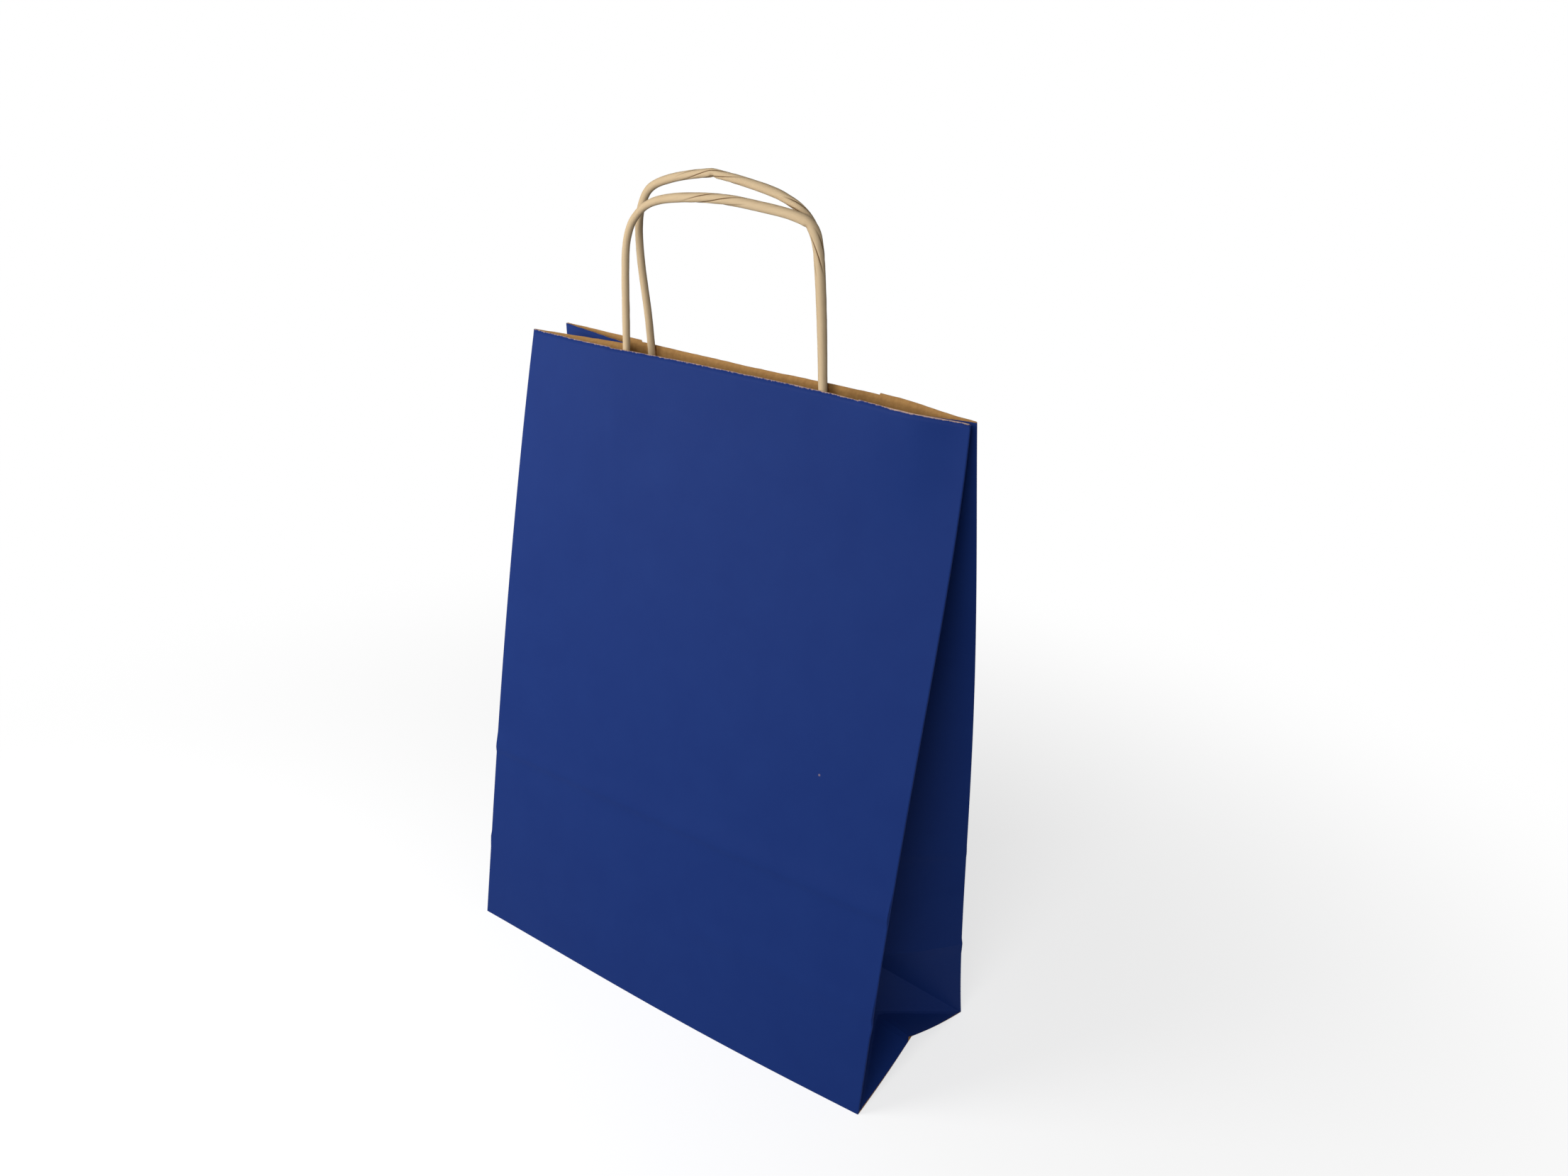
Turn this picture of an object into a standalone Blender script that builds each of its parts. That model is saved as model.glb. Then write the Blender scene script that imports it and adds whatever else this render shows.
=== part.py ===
"""Paper carrier bag with two twisted paper handles, standing open and nearly empty.

The bag is one folded sheet: two broad panels, a gusset pressed in along its centre crease at
each end, and a block base whose corners stand closer together than the gusset paper is wide,
so that the base rises in a low ridge and its two ends pop inwards.
Each handle is a stiff cord of twisted paper, held inside its panel by a glued strip.

Metres, +X to the right, +Y to the back, +Z up. The origin lies under the middle of the base.
"""
import math

import bmesh
import bpy
import numpy as np
from mathutils import Vector

# Sheet and folds
PAPER = 0.0003
FOLD_WIDTH = 0.0009
GAP = 0.0003

# Bag
BASE_WIDTH = 0.240
BASE_DEPTH = 0.0922
GUSSET_WIDTH = 0.100
MOUTH_HEIGHT = 0.3094
LEFT_INSET = 0.006
RIGHT_INSET = 0.0005
KNEE_HEIGHT = 0.045
PRESS_LINE_HEIGHT = 0.096
FOOT_WIDTH = 0.005
RIDGE_RISE = 0.016
RIDGE_OFFSET = -0.003
BASE_BOW = 0.0022
BASE_BOW_POWER = 3

# Lower vertex of each popped-in gusset, from the side of the base
POCKET_INSET = 0.0215
POCKET_HEIGHT = 0.0185
POCKET_OFFSET = -0.002

# Lean of the four corner edges: share of half the base depth, at even steps up to the mouth
FRONT_LEFT_LEAN = (1.0, 0.845, 0.672, 0.465, 0.205)
FRONT_RIGHT_LEAN = (1.0, 0.794, 0.536, 0.255, 0.095)
BACK_RIGHT_LEAN = (1.0, 0.758, 0.595, 0.347, 0.030)
BACK_LEFT_LEAN = (1.0, 0.800, 0.640, 0.480, 0.297)

# Waves of the mouth edge: centre, reach to the left, reach to the right, outward height
FRONT_WAVES = ((-0.075, 0.042, 0.042, 0.0022), (0.100, 0.038, 0.019, 0.0045))
BACK_WAVES = ((0.074, 0.080, 0.044, 0.0054),)
WAVE_START = 0.60

# The saw leaves the mouth lower between the two gussets than over them
FRONT_STEP = 0.0005
BACK_STEP = 0.0008

# Gusset centre folds, pushed towards the front panel at the mouth
LEFT_TUCK = 0.0010
RIGHT_TUCK = 0.0028
TUCK_START = 0.50
RIGHT_PINCH = 0.0018

# Handles
CORD_DIAMETER = 0.0038
SEAM_DEPTH = 0.0004
TWIST_PITCH = 0.030
CORD_STEP = 0.0038
CORD_SIDES = 10
FRONT_HANDLE_LEAN = math.radians(-3)
BACK_HANDLE_LEAN = math.radians(-8)
# Centre lines above the mouth: X, and height over the mouth edge
FRONT_ARCH = (
    (-0.0569, 0.0000), (-0.0562, 0.0160), (-0.0547, 0.0396), (-0.0526, 0.0520),
    (-0.0487, 0.0612), (-0.0409, 0.0676), (-0.0262, 0.0708), (-0.0038, 0.0724),
    (0.0177, 0.0718), (0.0340, 0.0700), (0.0420, 0.0670), (0.0453, 0.0584), (0.0468, 0.0450),
    (0.0483, 0.0240), (0.0493, 0.0000),
)
BACK_ARCH = (
    (-0.0554, 0.0000), (-0.0557, 0.0150), (-0.0570, 0.0390), (-0.0564, 0.0550),
    (-0.0530, 0.0654), (-0.0465, 0.0722), (-0.0328, 0.0771), (-0.0150, 0.0810),
    (-0.0090, 0.0812), (0.0088, 0.0790), (0.0240, 0.0759), (0.0348, 0.0707), (0.0404, 0.0634),
    (0.0417, 0.0510), (0.0423, 0.0250), (0.0422, 0.0000),
)

# Glued strips over the ends of the cords
PATCH_WIDTH = 0.128
PATCH_HEIGHT = 0.048
PATCH_DROP = 0.012
PATCH_MARGIN = 0.006
CHANNEL_REACH = 0.007

# Faces
PANEL_CELLS = 12
GUSSET_CELLS = 3
UPPER_ROWS = 8
SIDE_CELLS = 2
PATCH_ROWS = 3
CHANNEL_CELLS = 5


def clear_scene():
    for item in list(bpy.data.objects):
        bpy.data.objects.remove(item, do_unlink=True)


def make_material(name, colour, roughness):
    material = bpy.data.materials.new(name)
    material.use_nodes = True
    shader = material.node_tree.nodes["Principled BSDF"]
    shader.inputs["Base Color"].default_value = (*colour, 1.0)
    shader.inputs["Roughness"].default_value = roughness
    shader.inputs["Metallic"].default_value = 0.0
    return material


def make_object(name, points, faces, material):
    mesh = bpy.data.meshes.new(name)
    solid = bmesh.new()
    corners = [solid.verts.new(point) for point in points]
    for face in faces:
        solid.faces.new([corners[index] for index in face])
    solid.to_mesh(mesh)
    solid.free()
    mesh.materials.append(material)
    item = bpy.data.objects.new(name, mesh)
    bpy.context.scene.collection.objects.link(item)
    return item


def add_thickness(item):
    """The modelled faces are the printed side, and the paper lies behind them."""
    solidify = item.modifiers.new("paper", "SOLIDIFY")
    solidify.thickness = PAPER
    solidify.offset = -1.0
    solidify.use_even_offset = True
    solidify.use_quality_normals = True
    solidify.use_rim = True


def ease(start, end, value):
    """Smooth step from 0 at start to 1 at end."""
    share = min(max((value - start) / (end - start), 0.0), 1.0)
    return share * share * (3.0 - 2.0 * share)


def lean_curve(shares):
    """Distance of a corner edge from the middle plane, for a share of the mouth height."""
    steps = np.linspace(0.0, 1.0, len(shares))
    curve = np.polynomial.Polynomial.fit(steps, shares, len(shares) - 1)
    return lambda level: float(curve(level)) * BASE_DEPTH / 2


FRONT_EDGES = (lean_curve(FRONT_LEFT_LEAN), lean_curve(FRONT_RIGHT_LEAN))
BACK_EDGES = (lean_curve(BACK_LEFT_LEAN), lean_curve(BACK_RIGHT_LEAN))


def side_x(side, level):
    """X of the corner edges: side is -1 on the left and 1 on the right."""
    inset = LEFT_INSET if side < 0 else RIGHT_INSET
    return side * (BASE_WIDTH / 2 - inset * level)


def wave_height(waves, x):
    total = 0.0
    for centre, left, right, height in waves:
        share = abs(x - centre) / (left if x < centre else right)
        if share < 1.0:
            total += height * math.cos(share * math.pi / 2) ** 2
    return total


def panel_depth(outward, x, level):
    """Y of a panel's printed side: outward is -1 on the front panel and 1 on the back one."""
    edges, waves = (FRONT_EDGES, FRONT_WAVES) if outward < 0 else (BACK_EDGES, BACK_WAVES)
    left, right = side_x(-1, level), side_x(1, level)
    across = (x - left) / (right - left)
    flat = edges[0](level) * (1 - across) + edges[1](level) * across
    bow = BASE_BOW * math.sin(across * math.pi) * (1 - level) ** BASE_BOW_POWER
    wave = wave_height(waves, x) * ease(WAVE_START, 1.0, level)
    return outward * (flat + bow + wave)


def panel_columns(level):
    """X of a panel's columns, left to right, with one column over each gusset fold."""
    left, right = side_x(-1, level), side_x(1, level)
    fold = GUSSET_WIDTH / 2
    outer = np.linspace(0.0, fold, SIDE_CELLS + 1)
    middle = np.linspace(left + fold, right - fold, PANEL_CELLS - 2 * SIDE_CELLS + 1)
    return [*(left + outer[:-1]), *middle, *(right - outer[:-1][::-1])]


def row_levels():
    low = [0.0, KNEE_HEIGHT / MOUTH_HEIGHT, PRESS_LINE_HEIGHT / MOUTH_HEIGHT]
    return low + list(np.linspace(low[-1], 1.0, UPPER_ROWS + 1)[1:])


def mouth_step(outward, index, level):
    """How far the cut edge lies below the full height, for a panel's column."""
    over_gusset = index <= SIDE_CELLS or index >= PANEL_CELLS - SIDE_CELLS
    if level < 1.0 or over_gusset:
        return 0.0
    return FRONT_STEP if outward < 0 else BACK_STEP


def panel_row(outward, level):
    """A row of a panel's points, left to right."""
    points = []
    for index, x in enumerate(panel_columns(level)):
        z = level * MOUTH_HEIGHT - mouth_step(outward, index, level)
        points.append(Vector((x, panel_depth(outward, x, level), z)))
    return points


def gusset_row(side, level):
    """A row of a gusset's points, from the front edge to the fold and on to the back edge."""
    x = side_x(side, level)
    front = panel_depth(-1, x, level) + FOLD_WIDTH
    back = panel_depth(1, x, level) - FOLD_WIDTH
    half = GUSSET_WIDTH / 2
    reach = math.sqrt(half ** 2 - ((back - front) / 2) ** 2)
    tuck = (LEFT_TUCK if side < 0 else RIGHT_TUCK) * ease(TUCK_START, 1.0, level)
    pinch = (0.0 if side < 0 else RIGHT_PINCH) * ease(TUCK_START, 1.0, level)
    fold_x, fold_y, z = x - side * reach, (front + back) / 2 - tuck, level * MOUTH_HEIGHT
    points = []
    for share in np.linspace(0.0, 1.0, GUSSET_CELLS + 1):
        y = front + (fold_y - FOLD_WIDTH / 2 - front) * share
        points.append(Vector((x + (fold_x - x) * share, y, z)))
    for share in np.linspace(0.0, 1.0, GUSSET_CELLS + 1):
        y = fold_y + FOLD_WIDTH / 2 + (back - fold_y - FOLD_WIDTH / 2) * share
        y -= pinch * math.sin(share * math.pi)
        points.append(Vector((fold_x + (x - fold_x) * share, y, z)))
    return points


def base_shares():
    """Rows of the base, as shares of its depth from front to back."""
    edge, foot = FOLD_WIDTH / BASE_DEPTH, FOOT_WIDTH / BASE_DEPTH
    ridge = 0.5 + RIDGE_OFFSET / BASE_DEPTH
    return [0.0, edge, foot, (foot + ridge) / 2, ridge, (1 - foot + ridge) / 2,
            1 - foot, 1 - edge, 1.0]


def base_rise(share):
    """The base is flat along both feet and climbs evenly to its ridge."""
    foot = FOOT_WIDTH / BASE_DEPTH
    ridge = 0.5 + RIDGE_OFFSET / BASE_DEPTH
    if share <= ridge:
        climb = (share - foot) / (ridge - foot)
    else:
        climb = (1 - foot - share) / (1 - foot - ridge)
    return RIDGE_RISE * min(max(climb, 0.0), 1.0)


def base_column(index):
    """A line of the base's points under one panel column, from front to back."""
    front, back = panel_row(-1, 0.0)[index], panel_row(1, 0.0)[index]
    points = []
    for share in base_shares():
        point = front.lerp(back, share)
        point.z = base_rise(share)
        points.append(point)
    return points


class Sheet:
    """Collects points and faces, and gives each point one index."""

    def __init__(self):
        self.points = []
        self.faces = []

    def add(self, points):
        first = len(self.points)
        self.points += points
        return list(range(first, len(self.points)))

    def strip(self, lower, upper):
        for k in range(len(lower) - 1):
            self.faces.append((lower[k], lower[k + 1], upper[k + 1], upper[k]))


def gusset_foot(sheet, edge, knee, side):
    """The popped-in triangle of a gusset, between the base's end and the row at the knee."""
    pocket = Vector((side * (BASE_WIDTH / 2 - POCKET_INSET), POCKET_OFFSET, POCKET_HEIGHT))
    low = sheet.add([pocket])[0]
    first, last, middle = edge[0], edge[-1], len(knee) // 2
    for k in range(middle - 1):
        sheet.faces.append((first, knee[k + 1], knee[k]))
    for k in range(middle, len(knee) - 1):
        sheet.faces.append((last, knee[k + 1], knee[k]))
    sheet.faces.append((first, low, knee[middle - 1]))
    sheet.faces.append((low, knee[middle], knee[middle - 1]))
    sheet.faces.append((low, last, knee[middle]))
    for k in range(len(edge) - 1):
        sheet.faces.append((edge[k], edge[k + 1], low))


def make_bag(material):
    sheet = Sheet()
    columns = [sheet.add(base_column(index)) for index in range(PANEL_CELLS + 1)]
    for k in range(PANEL_CELLS):
        sheet.strip(columns[k], columns[k + 1])
    front, back = [line[0] for line in columns], [line[-1] for line in columns][::-1]
    right, left = columns[-1][1:-1], columns[0][1:-1][::-1]

    loops = []
    for level in row_levels()[1:]:
        parts = (panel_row(-1, level), gusset_row(1, level),
                 panel_row(1, level)[::-1], gusset_row(-1, level)[::-1])
        loops.append([sheet.add(part) for part in parts])

    knee_front, knee_right, knee_back, knee_left = loops[0]
    sheet.strip(front, knee_front)
    sheet.strip(back, knee_back)
    gusset_foot(sheet, right, knee_right, 1)
    gusset_foot(sheet, left, knee_left, -1)
    sheet.strip([front[-1], right[0]], [knee_front[-1], knee_right[0]])
    sheet.strip([right[-1], back[0]], [knee_right[-1], knee_back[0]])
    sheet.strip([back[-1], left[0]], [knee_back[-1], knee_left[0]])
    sheet.strip([left[-1], front[0]], [knee_left[-1], knee_front[0]])

    rings = [sum(loop, []) + loop[0][:1] for loop in loops]
    for lower, upper in zip(rings, rings[1:]):
        sheet.strip(lower, upper)
    add_thickness(make_object("bag", sheet.points, sheet.faces, material))


def faceted_depth(outward, x, z):
    """Y of a panel's printed side on its flat faces, at a height below the mouth."""
    levels = row_levels()
    level = z / MOUTH_HEIGHT
    upper = next(k for k in range(1, len(levels)) if levels[k] >= level or k == len(levels) - 1)
    rows = []
    for row in (levels[upper - 1], levels[upper]):
        points = panel_row(outward, row)
        rows.append(np.interp(x, [point.x for point in points], [point.y for point in points]))
    share = (level - levels[upper - 1]) / (levels[upper] - levels[upper - 1])
    return float(rows[0] + (rows[1] - rows[0]) * share)


def inner_offset(outward, x, z, distance):
    """Y of a point that lies a distance inside a panel's unprinted side."""
    return faceted_depth(outward, x, z) - outward * (PAPER + distance)


def handle_route(outward, arch, lean):
    """Centre line of a handle: up one leg inside the panel, over the arch and down again."""
    bottom = MOUTH_HEIGHT - PATCH_DROP - PATCH_HEIGHT + PATCH_MARGIN
    seat = GAP + CORD_DIAMETER / 2
    left_x, right_x = arch[0][0], arch[-1][0]
    leg_heights = np.linspace(bottom, MOUTH_HEIGHT - PATCH_DROP / 2, 6)

    def leg(x):
        return [Vector((x, inner_offset(outward, x, z, seat), z)) for z in leg_heights]

    left_y = inner_offset(outward, left_x, MOUTH_HEIGHT, seat)
    right_y = inner_offset(outward, right_x, MOUTH_HEIGHT, seat)
    crown = []
    for x, rise in arch:
        share = (x - left_x) / (right_x - left_x)
        y = left_y + (right_y - left_y) * share + rise * math.tan(lean)
        crown.append(Vector((x, y, MOUTH_HEIGHT + rise)))
    return leg(left_x) + crown + leg(right_x)[::-1]


def smooth_route(points):
    """Points at even steps along a smooth curve through the route."""
    ends = [points[0] * 2 - points[1], *points, points[-1] * 2 - points[-2]]
    dense = []
    for before, start, end, after in zip(ends, ends[1:], ends[2:], ends[3:]):
        for share in np.linspace(0.0, 1.0, 12, endpoint=False):
            bend = (before * 2 - start * 5 + end * 4 - after) * share ** 2
            twist = (start * 3 - before - end * 3 + after) * share ** 3
            dense.append((start * 2 + (end - before) * share + bend + twist) / 2)
    dense.append(points[-1])
    travel = np.cumsum([0.0] + [(b - a).length for a, b in zip(dense, dense[1:])])
    stops = np.linspace(0.0, travel[-1], round(travel[-1] / CORD_STEP) + 1)
    axes = [np.interp(stops, travel, [point[axis] for point in dense]) for axis in range(3)]
    return [Vector(point) for point in zip(*axes)], stops


def cord_section(turn):
    """Outline of the cord: round, with one shallow seam where the paper overlaps itself."""
    outline = []
    for k in range(CORD_SIDES):
        radius = CORD_DIAMETER / 2 - (SEAM_DEPTH if k == 0 else 0.0)
        angle = turn + 2 * math.pi * k / CORD_SIDES
        outline.append((radius * math.cos(angle), radius * math.sin(angle)))
    return outline


def make_handle(name, outward, arch, lean, material):
    route, stops = smooth_route(handle_route(outward, arch, lean))
    points, faces = [], []
    for k, (centre, stop) in enumerate(zip(route, stops)):
        along = (route[min(k + 1, len(route) - 1)] - route[max(k - 1, 0)]).normalized()
        across = along.cross(Vector((0.0, 1.0, 0.0))).normalized()
        normal = across.cross(along)
        for u, v in cord_section(2 * math.pi * stop / TWIST_PITCH):
            points.append(centre + across * u + normal * v)
    for k in range(len(route) - 1):
        for j in range(CORD_SIDES):
            near, far = k * CORD_SIDES, (k + 1) * CORD_SIDES
            next_j = (j + 1) % CORD_SIDES
            faces.append((near + j, far + j, far + next_j, near + next_j))
    faces.append(tuple(range(CORD_SIDES)))
    faces.append(tuple(range(len(points) - CORD_SIDES, len(points)))[::-1])
    handle = make_object(name, points, faces, material)
    handle.data.shade_smooth()
    return handle


def make_patch(name, outward, arch, material):
    """A strip that lies flat on the panel and rises in a channel over each cord."""
    legs = (arch[0][0], arch[-1][0])
    centre = (legs[0] + legs[1]) / 2
    columns = {centre - PATCH_WIDTH / 2, centre + PATCH_WIDTH / 2}
    for x in legs:
        columns.update(x + CHANNEL_REACH * share
                       for share in np.linspace(-1.0, 1.0, 2 * CHANNEL_CELLS + 1))
    panel_xs = panel_columns(1.0)
    columns.update(x for x in panel_xs if all(abs(x - leg) > CHANNEL_REACH for leg in legs)
                   and abs(x - centre) < PATCH_WIDTH / 2)
    columns = sorted(columns)
    top = MOUTH_HEIGHT - PATCH_DROP
    sheet = Sheet()
    rows = []
    for z in np.linspace(top - PATCH_HEIGHT, top, PATCH_ROWS + 1):
        row = []
        for x in columns:
            away = min(abs(x - leg) for leg in legs) / CHANNEL_REACH
            channel = math.cos(min(away, 1.0) * math.pi / 2) ** 2
            distance = GAP + PAPER + (CORD_DIAMETER + GAP) * channel
            row.append(Vector((x, inner_offset(outward, x, z, distance), z)))
        rows.append(sheet.add(row if outward > 0 else row[::-1]))
    for lower, upper in zip(rows, rows[1:]):
        sheet.strip(lower, upper)
    add_thickness(make_object(name, sheet.points, sheet.faces, material))


def main():
    clear_scene()
    printed = make_material("blue_printed_paper", (0.018, 0.040, 0.190), 0.55)
    cord = make_material("twisted_kraft_cord", (0.520, 0.385, 0.235), 0.75)
    kraft = make_material("brown_kraft_paper", (0.300, 0.185, 0.080), 0.80)
    make_bag(printed)
    make_handle("front_handle", -1, FRONT_ARCH, FRONT_HANDLE_LEAN, cord)
    make_handle("back_handle", 1, BACK_ARCH, BACK_HANDLE_LEAN, cord)
    make_patch("front_handle_patch", -1, FRONT_ARCH, kraft)
    make_patch("back_handle_patch", 1, BACK_ARCH, kraft)


main()
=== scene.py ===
"""The paper carrier bag as the photograph shows it: one folded sheet, two twisted handles.

Metres, +X to the right across the front panel, +Y to the back, +Z up. The shapes repeat the
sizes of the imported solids, with finer faces, rounded folds, pressed lines and a cut edge.
"""
import math

import bmesh
import bpy
import numpy as np
from mathutils import Matrix, Vector, noise


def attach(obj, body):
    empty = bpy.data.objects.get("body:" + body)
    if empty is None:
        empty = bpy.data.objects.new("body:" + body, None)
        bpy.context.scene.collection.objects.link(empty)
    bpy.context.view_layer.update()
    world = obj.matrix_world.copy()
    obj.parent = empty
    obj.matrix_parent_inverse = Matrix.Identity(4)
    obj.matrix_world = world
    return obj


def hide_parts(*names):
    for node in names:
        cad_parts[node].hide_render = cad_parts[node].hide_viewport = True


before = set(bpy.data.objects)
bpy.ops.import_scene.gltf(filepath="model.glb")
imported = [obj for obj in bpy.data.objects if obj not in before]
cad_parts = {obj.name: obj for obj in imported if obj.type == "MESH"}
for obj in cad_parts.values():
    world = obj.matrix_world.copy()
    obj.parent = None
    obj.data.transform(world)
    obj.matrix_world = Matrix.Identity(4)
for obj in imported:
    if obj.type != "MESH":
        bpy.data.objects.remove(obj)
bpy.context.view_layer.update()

# Sheet, and the share of its thickness that is left in a pressed fold
PAPER = 0.0002
PRESSED_SHARE = 0.06
FOLD_RADIUS = 0.00045
VALLEY_RADIUS = 0.00025

# Bag
BASE_WIDTH = 0.240
BASE_DEPTH = 0.0922
GUSSET_WIDTH = 0.100
MOUTH_HEIGHT = 0.3094
LEFT_INSET = 0.0056
RIGHT_INSET = 0.0001
KNEE_HEIGHT = 0.045
KNEE_BULGE = 0.0016
KNEE_REACH = 0.040
KNEE_SPREAD = 0.0005
PRESS_LINE_HEIGHT = 0.096
PRESS_LINE_RISE = 0.00075
LOW_LINE_HEIGHT = 0.048
LOW_LINE_RISE = 0.00050
UPRIGHT_LINE_RISE = 0.00025
RIDGE_RISE = 0.016
RIDGE_OFFSET = -0.003
RIDGE_BEND = -0.06
SAG_BEND = -0.05
BASE_BOW = 0.0026
BASE_LIFT = 0.0001
BASE_SAG = 0.0045
SAG_REACH = 0.022
POCKET = (0.0985, -0.002, 0.0185)
FRONT_LEFT_LEAN = (1.0, 0.845, 0.672, 0.465, 0.205)
FRONT_RIGHT_LEAN = (1.0, 0.794, 0.536, 0.255, 0.095)
BACK_RIGHT_LEAN = (1.0, 0.758, 0.595, 0.347, 0.030)
BACK_LEFT_LEAN = (1.0, 0.800, 0.640, 0.480, 0.297)

# Waves of the mouth edge: centre, reach to the left, reach to the right, outward height
FRONT_WAVES = ((-0.075, 0.042, 0.042, 0.0022), (0.094, 0.045, 0.025, 0.0034))
BACK_WAVES = ((0.074, 0.080, 0.044, 0.0054),)
WAVE_START = 0.60
RIGHT_WAVE_DELAY = 0.22
GUSSET_SWING = 0.8
CURL = -0.0004
CURL_REACH = 0.012
MOUTH_SLOPE = 0.0010
MOUTH_LEFT = -0.114
MOUTH_WIDTH = 0.2335
FRONT_STEP = 0.0005
BACK_STEP = 0.0008
LEFT_TUCK = 0.0010
RIGHT_TUCK = 0.0028
TUCK_START = 0.50
RIGHT_PINCH = 0.0018

# Glued overlap of the sheet's two ends, on the back panel beside the left gusset
LAP_WIDTH = 0.014
LAP_STEP = 0.00025
LAP_SLOPE = 0.0002

# Counts of faces
FOOT_CELLS = 14
SIDE_CELLS = 16
MIDDLE_CELLS = 46
FOLD_STEPS = 4

# Handles
CORD_DIAMETER = 0.0038
TWIST_PER_METRE = 2 * math.pi / 0.055
FRONT_HANDLE_LEAN = math.radians(-3)
BACK_HANDLE_LEAN = math.radians(-8)
FRONT_ARCH = (
    (-0.0569, 0.0000), (-0.0566, 0.0160), (-0.0560, 0.0396), (-0.0541, 0.0516),
    (-0.0495, 0.0600), (-0.0409, 0.0666), (-0.0262, 0.0703), (-0.0038, 0.0721),
    (0.0177, 0.0711), (0.0340, 0.0693), (0.0420, 0.0662), (0.0453, 0.0580), (0.0468, 0.0450),
    (0.0483, 0.0240), (0.0493, 0.0000),
)
BACK_ARCH = (
    (-0.0554, 0.0000), (-0.0557, 0.0150), (-0.0573, 0.0390), (-0.0566, 0.0550),
    (-0.0530, 0.0657), (-0.0465, 0.0727), (-0.0328, 0.0777), (-0.0150, 0.0811),
    (-0.0090, 0.0812), (0.0088, 0.0790), (0.0240, 0.0759), (0.0348, 0.0707), (0.0404, 0.0634),
    (0.0417, 0.0510), (0.0423, 0.0250), (0.0422, 0.0000),
)
# Thickness of the cord beside its diameter, at shares of the arch's width
FRONT_SWELL = ((0.0, 0.90), (0.12, 0.88), (0.3, 1.06), (0.55, 1.16), (0.8, 1.12), (0.95, 1.26),
               (0.975, 1.12), (1.0, 1.0))
BACK_SWELL = ((0.0, 0.92), (0.2, 0.98), (0.5, 1.0), (0.75, 1.10), (1.0, 1.0))
PATCH_WIDTH = 0.128
PATCH_HEIGHT = 0.048
PATCH_DROP = 0.012
PATCH_MARGIN = 0.006
CHANNEL_REACH = 0.007
GAP = 0.0003

# Where the cord's twist has opened, and where it is kinked: a point of the arch, half length
FRONT_OPENINGS = (((-0.006, 0.0722), 0.018), ((0.0457, 0.0560), 0.010))
BACK_OPENINGS = (((-0.0120, 0.0812), 0.020), ((0.0330, 0.0712), 0.008))
FRONT_KINK = (0.0408, 0.0676)
BACK_KINK = (-0.0112, 0.0812)

# Glued flaps under the base: near edge, far edge, half width at each, depth below the base
FRONT_FLAP = (-0.0400, 0.0050, 0.1170, 0.0690, 0.00022)
BACK_FLAP = (0.0400, -0.0080, 0.1170, 0.0660, 0.00044)

# Distances from a worn edge, kept on the sheet's points for the print's material
END_WEAR = 0.0002
MOUTH_WEAR = 0.00018
BELOW_MOUTH_WEAR = 0.0022
NO_WEAR = 0.003
RUBBED_BARE_FROM = 0.085

# Colours
BLUE_PRINT = "#0F2D70"
BLUE_PRINT_WORN = "#133174"
KRAFT_INSIDE = "#C79A5E"
KRAFT_FIBRE = "#AB7E4D"
KRAFT_EDGE = "#D9B9A4"
CUT_PAPER = "#C4A28A"
CORD_PALE = "#DDC5A0"
CORD_DARK = "#D4B993"
# Painted shade for the cord's opened fold lines and the underside of its kink
CORD_PAINTED_FOLD_SHADE = "#6B4C2C"
WHITE = "#FFFFFF"
FLOOR_GREY = "#B0B0B0"
FLOOR_LIGHT = 0.60
KRAFT_RIB = 0.0030
BUMP_DEPTH = 0.00006

# Fleck of bare kraft in the front panel's print: X and Z
FLECK = (0.0754, 0.148)

# Lamps: name, place, size, power
LAMP_AIM = (0.0, 0.0, 0.17)
LAMPS = (("key_softbox", (-0.35, -0.50, 0.40), 0.45, 2.7),
         ("front_softbox", (0.45, -1.20, 0.80), 0.8, 7.6))

# The photograph's view, found from the corners, creases and handles of the bag
CAMERA_PLACE = (0.3732084, -0.4784788, 0.4511851)
CAMERA_YAW = 0.6191964
CAMERA_PITCH = 0.3812978
CAMERA_ROLL = 0.0503692
SENSOR_WIDTH = 36.0
FOCAL_PIXELS = 1996.147
PHOTO_WIDTH = 2212


# Shared small tools

def linear(code):
    """Turns an sRGB hex colour into linear values."""
    channels = [int(code[k:k + 2], 16) / 255 for k in (1, 3, 5)]
    turned = [c / 12.92 if c <= 0.04045 else ((c + 0.055) / 1.055) ** 2.4 for c in channels]
    return (*turned, 1.0)


def give(tree, node, inputs):
    """Gives each input a value or a link, where a node stands for its first output."""
    for name, value in inputs.items():
        if isinstance(value, bpy.types.Node):
            value = value.outputs[0]
        if isinstance(value, bpy.types.NodeSocket):
            tree.links.new(value, node.inputs[name])
        else:
            node.inputs[name].default_value = value


def add(tree, kind, inputs=None, **settings):
    """Adds a node with its settings, and gives its inputs their values or links."""
    node = tree.nodes.new(kind)
    for name, value in settings.items():
        setattr(node, name, value)
    give(tree, node, inputs or {})
    return node


def link_object(name, mesh):
    item = bpy.data.objects.new(name, mesh)
    bpy.context.scene.collection.objects.link(item)
    return item


def ease(start, end, value):
    share = min(max((value - start) / (end - start), 0.0), 1.0)
    return share * share * (3.0 - 2.0 * share)


def hump(distance, reach):
    """A rounded rise: 1 in the middle and 0 at its reach."""
    return math.cos(min(abs(distance) / reach, 1.0) * math.pi / 2) ** 2


# Shape of the sheet

def lean_curve(shares):
    steps = np.linspace(0.0, 1.0, len(shares))
    curve = np.polynomial.Polynomial.fit(steps, shares, len(shares) - 1)
    return lambda level: float(curve(level)) * BASE_DEPTH / 2


FRONT_EDGES = (lean_curve(FRONT_LEFT_LEAN), lean_curve(FRONT_RIGHT_LEAN))
BACK_EDGES = (lean_curve(BACK_LEFT_LEAN), lean_curve(BACK_RIGHT_LEAN))


def side_x(side, level):
    inset = LEFT_INSET if side < 0 else RIGHT_INSET
    knee = KNEE_SPREAD * hump(level * MOUTH_HEIGHT - KNEE_HEIGHT + 0.001, 0.0045)
    return side * (BASE_WIDTH / 2 - inset * level + knee)


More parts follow.
